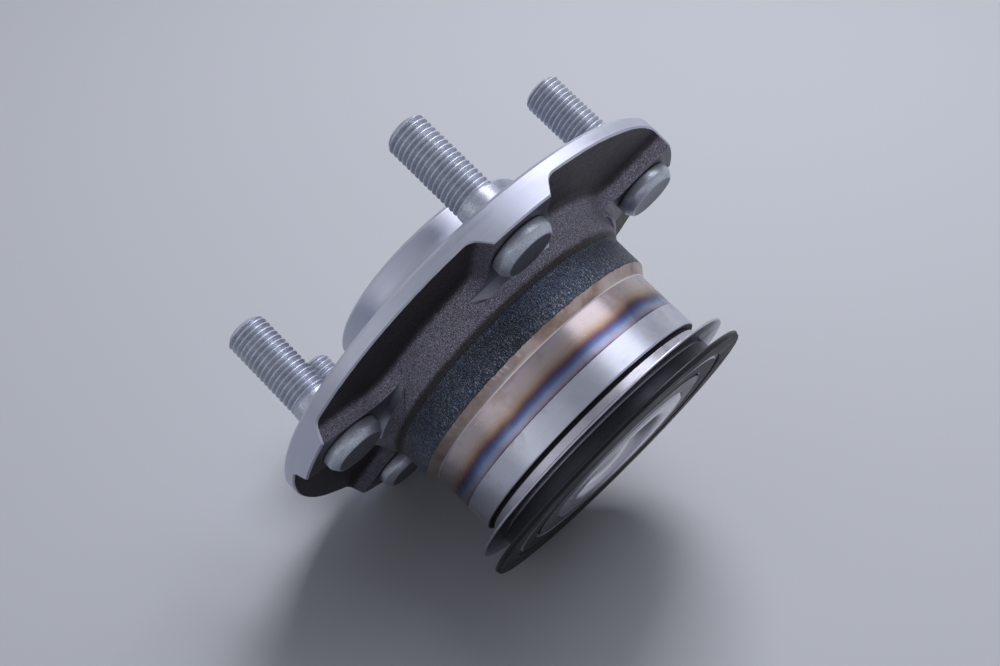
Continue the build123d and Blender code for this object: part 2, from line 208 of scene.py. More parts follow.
# ---- Material helpers --------------------------------------------------------------------
def join(tree, source, socket):
    """Links a socket to another one, or sets it to a plain value."""
    if isinstance(source, bpy.types.NodeSocket):
        tree.links.new(source, socket)
    else:
        socket.default_value = source


def add_node(tree, kind, inputs=(), **settings):
    """New shader node, with (socket name or number, source) pairs for its inputs."""
    node = tree.nodes.new("ShaderNode" + kind)
    for setting, value in settings.items():
        setattr(node, setting, value)
    for socket, source in inputs:
        join(tree, source, node.inputs[socket])
    return node


class Shader:
    """A material's node tree, with short calls for the nodes used here.

    place is the point in millimetres, and radius its distance from the bearing axis.
    """

    def __init__(self, name, metallic, specular=0.5):
        self.material = bpy.data.materials.new(name)
        self.material.use_nodes = True
        self.tree = self.material.node_tree
        self.bsdf = self.tree.nodes["Principled BSDF"]
        self.bsdf.inputs["Metallic"].default_value = metallic
        self.bsdf.inputs["Specular IOR Level"].default_value = specular
        coordinates = self.add("TexCoord").outputs["Object"]
        self.place = self.vector("SCALE", coordinates, scale=1 / MM)
        self.x, self.y, self.z = self.add("SeparateXYZ", [(0, self.place)]).outputs
        self.radius = self.vector("LENGTH", self.combine(self.x, self.y, 0))

    def add(self, kind, inputs=(), **settings):
        return add_node(self.tree, kind, inputs, **settings)

    def vector(self, operation, first, second=None, scale=None):
        inputs = [(0, first)]
        if second is not None:
            inputs.append((1, second))
        if scale is not None:
            inputs.append(("Scale", scale))
        node = self.add("VectorMath", inputs, operation=operation)
        return node.outputs["Value" if operation == "LENGTH" else "Vector"]

    def combine(self, x, y, z):
        return self.add("CombineXYZ", enumerate((x, y, z))).outputs[0]

    def math(self, operation, *values):
        return self.add("Math", enumerate(values), operation=operation).outputs[0]

    def remap(self, value, low, high, to_low=0.0, to_high=1.0):
        """Smooth step from to_low at low to to_high at high."""
        inputs = enumerate((value, low, high, to_low, to_high))
        return self.add("MapRange", inputs, interpolation_type="SMOOTHSTEP").outputs[0]

    def noise(self, vector, scale, detail=2.0, roughness=0.5):
        names = ("Vector", "Scale", "Detail", "Roughness")
        return self.add("TexNoise", zip(names, (vector, scale, detail, roughness))).outputs["Fac"]

    def stretched(self, x, y, z, scale, detail=2.0, roughness=0.5):
        """Noise with its grain drawn out along the axes whose factor is small."""
        return self.noise(self.vector("MULTIPLY", self.place, (x, y, z)), scale, detail, roughness)

    def spots(self, scale):
        inputs = (("Vector", self.place), ("Scale", scale))
        return self.add("TexVoronoi", inputs).outputs["Distance"]

    def ramp(self, value, stops):
        """Colour from (position, colour) stops, straight between them."""
        node = self.add("ValToRGB", [(0, value)])
        elements = node.color_ramp.elements
        for element, (position, colour) in zip(elements, (stops[0], stops[-1])):
            element.position = position
            element.color = (*colour, 1)
        for position, colour in stops[1:-1]:
            elements.new(position).color = (*colour, 1)
        return node.outputs[0]

    def blend(self, factor, first, second, mode="MIX"):
        first, second = ((*c, 1) if isinstance(c, tuple) else c for c in (first, second))
        inputs = ((0, factor), (6, first), (7, second))
        return self.add("Mix", inputs, data_type="RGBA", blend_type=mode).outputs[2]

    def attribute(self, name):
        return self.add("Attribute", attribute_name=name).outputs["Fac"]

    def bump(self, height, distance, strength=1.0):
        """Bump with a height in the range 0 to 1 that stands for a distance in millimetres."""
        inputs = (("Strength", strength), ("Distance", distance * MM), ("Height", height))
        return self.add("Bump", inputs).outputs[0]

    def set(self, colour, roughness, normal):
        """Joins the shader's inputs and gives back the finished material."""
        names = ("Base Color", "Roughness", "Normal")
        for name, source in zip(names, (colour, roughness, normal)):
            join(self.tree, source, self.bsdf.inputs[name])
        return self.material


# ---- Materials ---------------------------------------------------------------------------
# Heights (z) between which a colour changes, from its first look to its second
POCKET_PAINTED_SHADE = (-6.4, -4.9)      # bosses to the painted shade on the pocket floors
BAND_PAINTED_SHADE = (-13.4, -14.7)      # forged band to the painted shade in the fillet hollow at the neck
NECK_PAINTED_SHADE = (-16.0, -14.9)      # neck to the painted shade in the fillet hollow at the band
NECK_SCORING = (-19.0, -23.5)    # neck to its scratched end
NECK_RIM = (-24.6, NECK_END)     # neck to the darker line beside the chamfer
CHAMFER_PAINTED_HIGHLIGHT = (-27.6, -27.9)     # chamfer to the painted highlight line at its foot


def forged_steel():
    """Blasted forging: lavender-grey grain, with painted shade in the pockets and where the neck
    begins.
    """
    s = Shader("forged_steel", metallic=0.85)
    grain = s.noise(s.place, 4.2, 3.0, 0.6)
    speckle = s.spots(3.2)
    patches = s.noise(s.place, 0.14, 3.0, 0.55)
    scale = s.ramp(
        grain,
        ((0.34, (0.042, 0.039, 0.052)), (0.5, (0.175, 0.163, 0.205)), (0.66, (0.50, 0.48, 0.58))),
    )
    warm = s.blend(s.remap(patches, 0.54, 0.76, 0, 0.45), scale, (0.17, 0.145, 0.14))
    waver = s.math("MULTIPLY", s.math("SUBTRACT", s.noise(s.place, 0.9), 0.5), 0.8)
    edge = s.math("ADD", s.z, waver)
    # painted shade: darker towards the pocket floors
    pocket_shaded = s.blend(s.remap(edge, *POCKET_PAINTED_SHADE, 0, 0.9), warm, (0.040, 0.034, 0.036))
    # painted shade in the fillet hollow where the band turns into the neck
    colour = s.blend(s.remap(edge, *BAND_PAINTED_SHADE, 0, 0.85), pocket_shaded, (0.030, 0.024, 0.022))
    height = s.math("ADD", s.math("MULTIPLY", grain, 0.7), s.math("MULTIPLY", speckle, 0.5))
    return s.set(colour, s.remap(grain, 0.3, 0.7, 0.62, 0.40), s.bump(height, 0.10))


def neck_steel():
    """Blasted neck: dark blue-grey grain with bright specks, scored along the axis at its end."""
    s = Shader("neck_steel", metallic=0.9)
    scratches = s.stretched(1, 1, 0.22, 4.4, 2.0, 0.6)
    grain = s.noise(s.place, 4.6, 3.0, 0.7)
    tint = s.stretched(1, 1, 0.6, 0.16)
    height = s.math("ADD", s.math("MULTIPLY", scratches, 0.3), s.math("MULTIPLY", grain, 0.7))
    base = s.ramp(
        height,
        ((0.36, (0.016, 0.018, 0.025)), (0.52, (0.060, 0.068, 0.094)), (0.68, (0.30, 0.33, 0.44))),
    )
    sheen = s.ramp(
        tint,
        (
            (0.30, (0.24, 0.21, 0.31)),
            (0.42, (0.19, 0.23, 0.33)),
            (0.54, (0.20, 0.26, 0.28)),
            (0.68, (0.28, 0.24, 0.21)),
        ),
    )
    tinted = s.blend(0.45, base, sheen, "OVERLAY")
    speck = s.remap(s.noise(s.place, 6.5, 0.0, 0.5), 0.68, 0.76, 0, 0.8)
    scored = s.math("MULTIPLY", s.remap(scratches, 0.60, 0.68, 0, 0.7), s.remap(s.z, *NECK_SCORING))
    colour = s.blend(s.math("MAXIMUM", speck, scored), tinted, (0.58, 0.62, 0.72))
    edge = s.math("ADD", s.z, s.math("MULTIPLY", grain, 0.8))
    # painted shade in the fillet hollow at the neck's start
    colour = s.blend(s.remap(edge, *NECK_PAINTED_SHADE, 0, 0.85), colour, (0.030, 0.024, 0.022))
    colour = s.blend(s.remap(s.z, *NECK_RIM, 0, 0.5), colour, (0.05, 0.045, 0.05))
    return s.set(colour, s.remap(grain, 0.35, 0.65, 0.55, 0.36), s.bump(height, 0.10))


def turned_steel(name, colour, roughness, feed=0.12, depth=0.004, stain=0.25):
    """Lathe-turned steel, with feed marks round the axis on faces and on cylinders.

    feed and depth are the marks' spacing and height in millimetres, and stain is how much darker
    the steel is in patches.
    """
    s = Shader(name, metallic=1.0)
    lines = s.combine(
        s.math("MULTIPLY", s.x, 0.02),
        s.math("MULTIPLY", s.y, 0.02),
        s.math("ADD", s.z, s.radius),
    )
    marks = s.noise(lines, 1 / feed, 2.0, 0.7)
    broad = s.noise(lines, 0.9, 2.0, 0.5)
    cloud = s.noise(s.place, 0.09, 3.0, 0.6)
    shade = s.ramp(
        s.math("ADD", s.math("MULTIPLY", marks, 0.4), s.math("MULTIPLY", cloud, 0.6)),
        (
            (0.30, tuple(c * (1 - stain) for c in colour)),
            (0.62, colour),
            (0.80, tuple(min(1.0, c * 1.12) for c in colour)),
        ),
    )
    rough = s.math(
        "ADD",
        s.remap(broad, 0.3, 0.7, roughness - 0.05, roughness + 0.05),
        s.remap(cloud, 0.35, 0.7, -0.03, 0.07),
    )
    return s.set(shade, rough, s.bump(marks, depth, 0.8))


def tinted_barrel():
    """Turned band next to the ground one, with the colours of heat that ran along the axis."""
    s = Shader("tinted_barrel", metallic=1.0)
    wander = s.math("MULTIPLY", s.math("SUBTRACT", s.noise(s.place, 0.045), 0.5), 3.4)
    ripple = s.math("MULTIPLY", s.math("SUBTRACT", s.stretched(1, 1, 0.3, 0.5), 0.5), 0.5)
    edge = s.math("ADD", s.math("ADD", s.z, wander), ripple)
    width = BARREL_CHAMFER_END - GROUND_START
    along = s.math("DIVIDE", s.math("SUBTRACT", BARREL_CHAMFER_END, edge), width)
    colour = s.ramp(
        along,
        (
            (0.00, (0.46, 0.37, 0.39)),
            (0.10, (0.51, 0.44, 0.46)),
            (0.35, (0.50, 0.42, 0.41)),
            (0.48, (0.42, 0.31, 0.25)),
            (0.57, (0.26, 0.16, 0.13)),
            (0.63, (0.14, 0.085, 0.11)),
            (0.69, (0.10, 0.09, 0.19)),
            (0.76, (0.12, 0.16, 0.34)),
            (0.84, (0.26, 0.32, 0.48)),
            (0.91, (0.34, 0.33, 0.44)),
            (0.96, (0.32, 0.27, 0.37)),
            (1.00, (0.16, 0.12, 0.20)),
        ),
    )
    marks = s.stretched(0.02, 0.02, 1, 7.0, 2.0, 0.7)
    smudge = s.noise(s.place, 0.12, 3.0, 0.6)
    colour = s.blend(s.remap(smudge, 0.56, 0.72, 0, 0.35), colour, (0.30, 0.20, 0.13))
    return s.set(colour, s.remap(smudge, 0.35, 0.7, 0.24, 0.34), s.bump(marks, 0.003, 0.7))


def chamfer_steel():
    """Turned chamfer from neck to barrel: dull pink-copper tint, with a painted highlight at its
    foot.
    """
    s = Shader("chamfer_steel", metallic=1.0)
    cloud = s.noise(s.place, 0.12, 3.0, 0.6)
    marks = s.stretched(0.02, 0.02, 1, 6.0, 2.0, 0.7)
    colour = s.ramp(
        cloud,
        ((0.30, (0.30, 0.21, 0.18)), (0.50, (0.48, 0.37, 0.34)), (0.75, (0.56, 0.50, 0.50))),
    )
    # painted highlight: a bright line along the chamfer's foot
    colour = s.blend(s.remap(s.z, *CHAMFER_PAINTED_HIGHLIGHT, 0, 0.8), colour, (0.86, 0.82, 0.84))
    return s.set(colour, s.remap(cloud, 0.3, 0.7, 0.36, 0.28), s.bump(marks, 0.004, 0.8))


def painted_shade_steel():
    """Near-black steel, as painted shade: in the undercut behind the ground band and on the hub's
    inboard end.
    """
    s = Shader("painted_shade_steel", metallic=0.3, specular=0.2)
    fine = s.noise(s.place, 3.0, 3.0, 0.6)
    colour = s.ramp(fine, ((0.35, (0.012, 0.011, 0.013)), (0.65, (0.040, 0.038, 0.044))))
    return s.set(colour, s.remap(fine, 0.3, 0.7, 0.62, 0.48), s.bump(fine, 0.01))


def ground_band():
    """Ground seat of the barrel: bright, with fine marks round the axis and faint stains."""
    s = Shader("ground_band", metallic=1.0)
    marks = s.stretched(0.03, 0.03, 1, 9.0, 3.0, 0.7)
    cloud = s.noise(s.place, 0.14, 4.0, 0.6)
    colour = s.ramp(marks, ((0.3, (0.55, 0.565, 0.65)), (0.7, (0.65, 0.665, 0.75))))
    colour = s.blend(s.remap(cloud, 0.54, 0.72, 0, 0.5), colour, (0.40, 0.34, 0.34))
    return s.set(colour, s.remap(cloud, 0.35, 0.7, 0.28, 0.36), s.bump(marks, 0.003, 0.7))


def zinc_flake():
    """Matt zinc-flake coating: light grey and speckled, with painted shade where the root value is
    high.
    """
    s = Shader("zinc_flake", metallic=0.8)
    fleck = s.noise(s.place, 2.4, 3.0, 0.65)
    cloud = s.noise(s.place, 0.35, 2.0, 0.5)
    colour = s.ramp(
        s.math("ADD", s.math("MULTIPLY", fleck, 0.75), s.math("MULTIPLY", cloud, 0.25)),
        ((0.32, (0.38, 0.40, 0.46)), (0.50, (0.56, 0.59, 0.67)), (0.68, (0.69, 0.72, 0.81))),
    )
    # painted shade: thread roots, knurl valleys and the head's flat end darken by their root value
    root = s.math("POWER", s.attribute("root"), 2.0)
    colour = s.blend(s.math("MULTIPLY", root, 0.25), colour, (0.18, 0.19, 0.22))
    return s.set(colour, s.remap(fleck, 0.35, 0.65, 0.50, 0.36), s.bump(fleck, 0.035))


def pressed_sheet(name, colour, roughness, metallic=1.0):
    """Pressed sheet steel with faint draw lines and dull patches."""
    s = Shader(name, metallic=metallic)
    fine = s.stretched(0.3, 0.3, 3.0, 2.2, 3.0, 0.6)
    cloud = s.noise(s.place, 0.16, 3.0, 0.6)
    shade = s.ramp(
        s.math("ADD", s.math("MULTIPLY", fine, 0.5), s.math("MULTIPLY", cloud, 0.5)),
        ((0.30, tuple(0.72 * c for c in colour)), (0.60, colour)),
    )
    dull = s.remap(cloud, 0.3, 0.7, roughness - 0.05, roughness + 0.08)
    return s.set(shade, dull, s.bump(fine, 0.008, 0.8))


def magnet_rubber():
    """Magnetised rubber: near black, slightly mottled, moulded smooth."""
    s = Shader("magnet_rubber", metallic=0.0, specular=0.15)
    fine = s.noise(s.place, 6.0, 3.0, 0.6)
    cloud = s.noise(s.place, 0.2, 2.0, 0.5)
    colour = s.ramp(fine, ((0.35, (0.012, 0.012, 0.014)), (0.65, (0.035, 0.035, 0.038))))
    return s.set(colour, s.remap(cloud, 0.3, 0.7, 0.45, 0.60), s.bump(fine, 0.01))


def seal_rubber():
    """Moulded nitrile rubber lips, with a matt skin."""
    s = Shader("seal_rubber", metallic=0.0)
    fine = s.noise(s.place, 5.0, 3.0, 0.6)
    colour = s.ramp(fine, ((0.35, (0.014, 0.014, 0.015)), (0.65, (0.040, 0.038, 0.037))))
    return s.set(colour, s.remap(fine, 0.3, 0.7, 0.50, 0.64), s.bump(fine, 0.02))


def cage_nylon():
    """Glass-filled nylon: dark, with the flow marks and pale specks of its fibres."""
    s = Shader("cage_nylon", metallic=0.0)
    flow = s.stretched(0.4, 0.4, 1.6, 1.4, 3.0, 0.6)
    speck = s.spots(3.0)
    colour = s.ramp(flow, ((0.3, (0.035, 0.035, 0.040)), (0.7, (0.085, 0.082, 0.080))))
    colour = s.blend(s.remap(speck, 0.10, 0.02, 0, 0.5), colour, (0.22, 0.22, 0.22))
    return s.set(colour, s.remap(flow, 0.3, 0.7, 0.38, 0.50), s.bump(flow, 0.02))


def bearing_ball():
    """Lapped ball: mirror bright, with hair-fine random marks."""
    s = Shader("bearing_ball", metallic=1.0)
    haze = s.noise(s.place, 0.6, 3.0, 0.6)
    fine = s.noise(s.place, 12.0, 2.0, 0.5)
    colour = s.ramp(haze, ((0.3, (0.70, 0.70, 0.72)), (0.7, (0.80, 0.80, 0.82))))
    return s.set(colour, s.remap(haze, 0.3, 0.7, 0.04, 0.09), s.bump(fine, 0.0006, 0.5))


def spring_steel():
    """Blued spring band with a drawn grain along its length."""
    s = Shader("spring_steel", metallic=1.0)
    fine = s.stretched(0.2, 0.2, 3.0, 3.0, 3.0, 0.6)
    cloud = s.noise(s.place, 0.3, 2.0, 0.5)
    colour = s.ramp(cloud, ((0.3, (0.12, 0.15, 0.24)), (0.7, (0.24, 0.26, 0.33))))
    return s.set(colour, s.remap(fine, 0.3, 0.7, 0.26, 0.38), s.bump(fine, 0.006))


forged = forged_steel()
neck = neck_steel()
turned = turned_steel("turned_steel", (0.56, 0.575, 0.67), 0.43, stain=0.08)
# boss faces under the stud heads: turned steel painted dark, as painted shade
turned_painted_shade = turned_steel("turned_seat_painted_shade", (0.12, 0.115, 0.135), 0.42, feed=0.16, depth=0.006)
raceway = turned_steel("raceway_steel", (0.70, 0.70, 0.73), 0.12, feed=0.08, depth=0.001, stain=0.1)
inner_steel = turned_steel(
    "inner_ring_steel", (0.58, 0.58, 0.63), 0.20, feed=0.08, depth=0.0015, stain=0.12
)
chamfer = chamfer_steel()
painted_shade = painted_shade_steel()
barrel = tinted_barrel()
ground = ground_band()
zinc = zinc_flake()
plated = pressed_sheet("plated_sheet", (0.60, 0.60, 0.67), 0.31)
coated = pressed_sheet("coated_sheet", (0.045, 0.045, 0.055), 0.34, 0.7)
# stainless painted darker than the steel itself: painted shade on the slinger and seal cores
stainless_painted_shade = pressed_sheet("stainless_sheet_painted_shade", (0.16, 0.16, 0.18), 0.40)
magnet = magnet_rubber()
lips = seal_rubber()
nylon = cage_nylon()
lapped = bearing_ball()
blued = spring_steel()


# ---- Hub ---------------------------------------------------------------------------------
HUB_COLUMNS = 1080
BOSS_COLUMNS = 24            # of the columns in half a pitch, those across the machined boss
BOSS_EDGE_SAMPLES = 2000
FACE_START = 2.0             # from the pilot's relief to the first row with fitted columns
FACE_ROWS = 9
RIM_SHARES = (0.06, 0.34, 0.67, 0.94, 1.0)
BACK_ROWS = 58
SEAT_WALL_SHARES = (0.33, 0.67, 1.0)
BAND_ROWS = 8
NECK_FILLET_ARCS = ((138, 158, 5), (160, 174, 4))  # start, end (degrees) and steps: forged, neck
NECK_ROWS = 26
BARREL_ROWS = 5
RACEWAY_STEPS = 14
PILOT_FILLET = 0.4
BAND_CONE_ANGLE = 45.0       # between the forged band and the axis, in degrees
SAME_RADIUS = 0.01           # radii closer than this count as one
SAME_DEPTH = 1e-6
CLEAR_RIM = 0.2              # left smooth beside the turned rim
ROUGH_FADE = 0.6             # how far from a turned face the forged surface grows rough
GRAIN_LIFT = 0.035
SWELL_LIFT = 0.10
RIDGE_LIFT = 0.022
EDGE_WANDER = 0.10           # of the jagged edge between neck and chamfer, along the axis
EDGE_WANDER_OUTWARD = 0.0006  # and outwards, as a share of the radius
WALL_RISE = 1 / math.tan(math.radians(POCKET_WALL_TAPER))
LIP_END = BOSS_HEIGHT + SEAT_LIP_HEIGHT
HALF_PITCH = math.pi / STUD_COUNT
ZONES = (forged, neck, turned, turned_painted_shade, chamfer, barrel, ground, painted_shade, raceway)
FORGED, NECK, TURNED, SEAT, CHAMFER, BARREL, GROUND, PAINTED_SHADE_ZONE, RACEWAY = range(len(ZONES))


def pocket_distance(radius, angle):
    """Distance outside a pocket's floor, at a polar place measured from a boss's centre line."""
    across = BOSS_FOOT_HALF_WIDTH - radius * np.abs(np.sin(angle))
    inwards = POCKET_INNER_RADIUS - radius
    corner = POCKET_CORNER_RADIUS
    outside = np.hypot(np.maximum(across + corner, 0), np.maximum(inwards + corner, 0)) - corner
    return np.where((across < -corner) & (inwards < -corner), np.maximum(across, inwards), outside)


def forged_depth(distance):
    """Depth of the forged surface below the mounting face, from the distance to the floor."""
    fillet = POCKET_FLOOR_FILLET
    reach = fillet * math.tan(math.radians(90 - POCKET_WALL_TAPER) / 2)
    into = np.clip(distance + reach, 0, fillet)
    arc = fillet - np.sqrt(fillet**2 - into**2)
    steep = distance > reach * math.sin(math.radians(POCKET_WALL_TAPER))
    return RIM_THICKNESS + np.where(steep, distance * WALL_RISE, arc)


def boss_edge_angle(radius):
    """Angle from a boss's centre line to the edge of its machined face, at one radius."""
    angles = np.linspace(0, HALF_PITCH, BOSS_EDGE_SAMPLES)
    depth = forged_depth(pocket_distance(radius, angles))
    below = np.nonzero(depth < BOSS_HEIGHT)[0]
    return angles[below[0]] if len(below) else HALF_PITCH


def column_angles(radius, share):
    """Angles of the mesh columns, with one on each boss edge. share 0 spaces them evenly."""
    half = HUB_COLUMNS // (2 * STUD_COUNT)
    step = np.arange(half + 1)
    even = HALF_PITCH * step / half
    edge = boss_edge_angle(radius)
    fitted = np.interp(step, (0, BOSS_COLUMNS, half), (0, edge, HALF_PITCH))
    local = even + (fitted - even) * share
    whole = np.concatenate([local[:-1], 2 * HALF_PITCH - local[:0:-1]])
    turns = np.arange(STUD_COUNT) * 2 * HALF_PITCH
    return (math.radians(FIRST_STUD_ANGLE) + turns[:, None] + whole[None, :]).reshape(-1)


def boss_angle(angle):
    """Angle from the nearest boss's centre line."""
    turn = angle - math.radians(FIRST_STUD_ANGLE) + HALF_PITCH
    return turn % (2 * HALF_PITCH) - HALF_PITCH


def hub_rows():
    """Rows of the hub's grid, each (radius, z, angle, zone of the strip after it)."""
    rows = []
    ones = np.ones(HUB_COLUMNS)
    even = column_angles(FLANGE_RADIUS, 0)
    fitted = column_angles(FLANGE_RADIUS, 1)

    def ring(radius, z, zone, angle=even):
        rows.append((radius * ones, z * ones, angle, zone))

    def arc(centre, radius, start, end, steps, zone):
        for step in range(steps + 1):
            ring(*polar(centre, radius, start + (end - start) * step / steps), zone)

    # Pilot and face. Here and below, the small offsets break an edge or keep the shading level.
    for radius, z in (
        (PILOT_BORE_RADIUS, PILOT_HEIGHT - 1.0),
        (PILOT_BORE_RADIUS + 0.85, PILOT_HEIGHT - 0.08),
        (PILOT_BORE_RADIUS + 1.05, PILOT_HEIGHT),
        (PILOT_RADIUS - 1.05, PILOT_HEIGHT),
        (PILOT_RADIUS - 0.85, PILOT_HEIGHT - 0.08),
        (PILOT_RADIUS - 0.08, PILOT_HEIGHT - 0.85),
        (PILOT_RADIUS, PILOT_HEIGHT - 1.05),
        (PILOT_RADIUS, PILOT_HEIGHT - 1.25),
        (PILOT_RADIUS, -FACE_RELIEF_DEPTH + PILOT_FILLET + 0.2),
        (PILOT_RADIUS, -FACE_RELIEF_DEPTH + PILOT_FILLET),
    ):
        ring(radius, z, TURNED)
    foot = (PILOT_RADIUS + PILOT_FILLET, -FACE_RELIEF_DEPTH + PILOT_FILLET)
    arc(foot, PILOT_FILLET, 180, 270, 4, TURNED)
    relief_edge = PILOT_RADIUS + FACE_RELIEF_WIDTH
    ring(relief_edge, -FACE_RELIEF_DEPTH, TURNED)
    ring(relief_edge + FACE_RELIEF_DEPTH, 0, TURNED)
    face_start = relief_edge + FACE_START
    for share in np.linspace(0, 1, FACE_ROWS):
        radius = face_start + (FLANGE_RADIUS - RIM_CHAMFER - face_start) * share
        ring(radius, 0, TURNED, even + (fitted - even) * share)
    ring(FLANGE_RADIUS, -RIM_CHAMFER, TURNED, fitted)

    # Rim, down to the boss faces and the pocket floors
    edge_radius = FLANGE_RADIUS - RIM_EDGE_BREAK
    rim_depth = forged_depth(pocket_distance(edge_radius, boss_angle(fitted)))
    rim_end = RIM_EDGE_BREAK - np.minimum(rim_depth, BOSS_HEIGHT)
    for share in RIM_SHARES:
        z = -RIM_CHAMFER + (rim_end + RIM_CHAMFER) * share
        rows.append((FLANGE_RADIUS * ones, z, fitted, TURNED))

    # Back of the flange: pocket floors, pocket walls and the machined boss faces
    for radius in np.linspace(edge_radius, SEAT_INNER_RADIUS, BACK_ROWS):
        angle = column_angles(radius, 1)
        depth = forged_depth(pocket_distance(radius, boss_angle(angle)))
        zone = FORGED if radius > SEAT_INNER_RADIUS + SAME_RADIUS else TURNED
        rows.append((radius * ones, -np.minimum(depth, BOSS_HEIGHT), angle, zone))

    # Wall that the seat tool leaves, then the forged band and the fillet into the neck
    seat_z, angle = rows[-1][1:3]
    wall_depth = forged_depth(pocket_distance(SEAT_INNER_RADIUS, boss_angle(angle)))
    wall_z = -np.minimum(wall_depth, LIP_END)
    for share in SEAT_WALL_SHARES:
        zone = TURNED if share < 1 else FORGED
        rows.append((SEAT_INNER_RADIUS * ones, seat_z + (wall_z - seat_z) * share, angle, zone))
    band_z = -LIP_END - (SEAT_INNER_RADIUS - BAND_RADIUS)
    for share in np.linspace(0.15, 1, BAND_ROWS):
        radius = SEAT_INNER_RADIUS + (BAND_RADIUS - SEAT_INNER_RADIUS) * share
        z = wall_z + (band_z - wall_z) * share
        evened = share * share * (3 - 2 * share)
        rows.append((radius * ones, z, angle + (even - angle) * evened, FORGED))
    neck_start = band_z - NECK_FILLET_RADIUS * math.sin(math.radians(BAND_CONE_ANGLE))
    centre = (NECK_RADIUS + NECK_FILLET_RADIUS, neck_start)
    for (start, end, steps), zone in zip(NECK_FILLET_ARCS, (FORGED, NECK)):
        arc(centre, NECK_FILLET_RADIUS, start, end, steps, zone)
    for z in np.linspace(neck_start, NECK_END + 0.12, NECK_ROWS):
        ring(NECK_RADIUS, z, NECK)

    # Chamfer, barrel, ground band and ring seat
    chamfer_middle = NECK_END + (BARREL_CHAMFER_END - NECK_END) * 0.6
    ground_middle = (GROUND_START + GROUND_END) / 2
    for radius, z, zone in (
        (NECK_RADIUS, NECK_END, CHAMFER),
        (BARREL_RADIUS + 0.9, chamfer_middle, CHAMFER),
        (BARREL_RADIUS + 0.05, BARREL_CHAMFER_END + 0.08, CHAMFER),
        (BARREL_RADIUS, BARREL_CHAMFER_END - 0.08, BARREL),
        (BARREL_RADIUS, BARREL_CHAMFER_END - 0.25, BARREL),
        *(
            (BARREL_RADIUS, z, BARREL)
            for z in np.linspace(BARREL_CHAMFER_END - 2, GROUND_START + 0.5, BARREL_ROWS)
        ),
        (BARREL_RADIUS, GROUND_START + 0.2, BARREL),
        (BARREL_RADIUS, GROUND_START + 0.06, BARREL),
        (GROUND_RADIUS, GROUND_START - 0.08, GROUND),
        (GROUND_RADIUS, GROUND_START - 0.22, GROUND),
        (GROUND_RADIUS, ground_middle, GROUND),
        (GROUND_RADIUS, GROUND_END + 0.55, GROUND),
        (GROUND_RADIUS, GROUND_END + 0.4, GROUND),
        (GROUND_RADIUS - 0.08, GROUND_END + 0.15, GROUND),
        # the undercut and the hub's inboard end take the painted shade
        (GROUND_RADIUS - 0.35, GROUND_END, PAINTED_SHADE_ZONE),
        (RING_SEAT_RADIUS, GROUND_END, PAINTED_SHADE_ZONE),
        (RING_SEAT_RADIUS, GROUND_END - 1.5, TURNED),
        (RING_SEAT_RADIUS, HUB_END + 0.5, TURNED),
        (RING_SEAT_RADIUS - 0.5, HUB_END, PAINTED_SHADE_ZONE),
        (INBOARD_SEAL_BORE, HUB_END, TURNED),
        (INBOARD_SEAL_BORE, SEAL_SHOULDER_INBOARD, TURNED),
    ):
        ring(radius, z, zone)

    # Raceways
    open_angle = math.degrees(math.acos((RELIEF_RADIUS - BALL_CIRCLE_RADIUS) / GROOVE_RADIUS))
    land_angle = math.degrees(math.acos((LAND_RADIUS - BALL_CIRCLE_RADIUS) / GROOVE_RADIUS))
    ring(RELIEF_RADIUS, SEAL_SHOULDER_INBOARD, TURNED)
    for z, start, end in (
        (ROWS_Z[1], -open_angle, land_angle),
        (ROWS_Z[0], -land_angle, open_angle),
    ):
        arc((BALL_CIRCLE_RADIUS, z), GROOVE_RADIUS, start, end, RACEWAY_STEPS, RACEWAY)
    ring(RELIEF_RADIUS, SEAL_SHOULDER_OUTBOARD, TURNED)
    ring(PILOT_BORE_RADIUS, SEAL_SHOULDER_OUTBOARD, TURNED)
    return rows


def on_seat_depth(z):
    """Where z is the depth of the turned stud-head seats."""
    return np.abs(z + BOSS_HEIGHT) < SAME_DEPTH


def roughen(points, radius, z, zone):
    """Moves forged points off their smooth surface: grain, hammer marks and axial scratches."""
    outward = points * (1, 1, 0) / radius[..., None]
    grain = lattice_noise(points, 0.55, 11) * 0.6 + lattice_noise(points, 1.3, 12)
    swell = lattice_noise(points, 7.0, 13)
    ridges = lattice_noise(points * (1, 1, 0.12), 0.5, 14)
    on_neck = (zone == NECK)[:, None]
    on_forging = (zone == FORGED)[:, None]
    machined = on_seat_depth(z) | (radius > FLANGE_RADIUS - CLEAR_RIM)
    away = np.where(radius > SEAT_INNER_RADIUS + SAME_RADIUS, BOSS_HEIGHT + z, -z - LIP_END)
    amount = on_forging * np.where(machined, 0, np.clip(away / ROUGH_FADE, 0, 1))
    amount = np.where(on_neck, 1.0, amount)
    shape = GRAIN_LIFT * grain + SWELL_LIFT * swell * ~on_neck + RIDGE_LIFT * ridges * on_neck
    normal = np.where((radius > BAND_RADIUS)[..., None], (0, 0, -1.0), outward)
    return points + (amount * shape)[..., None] * normal


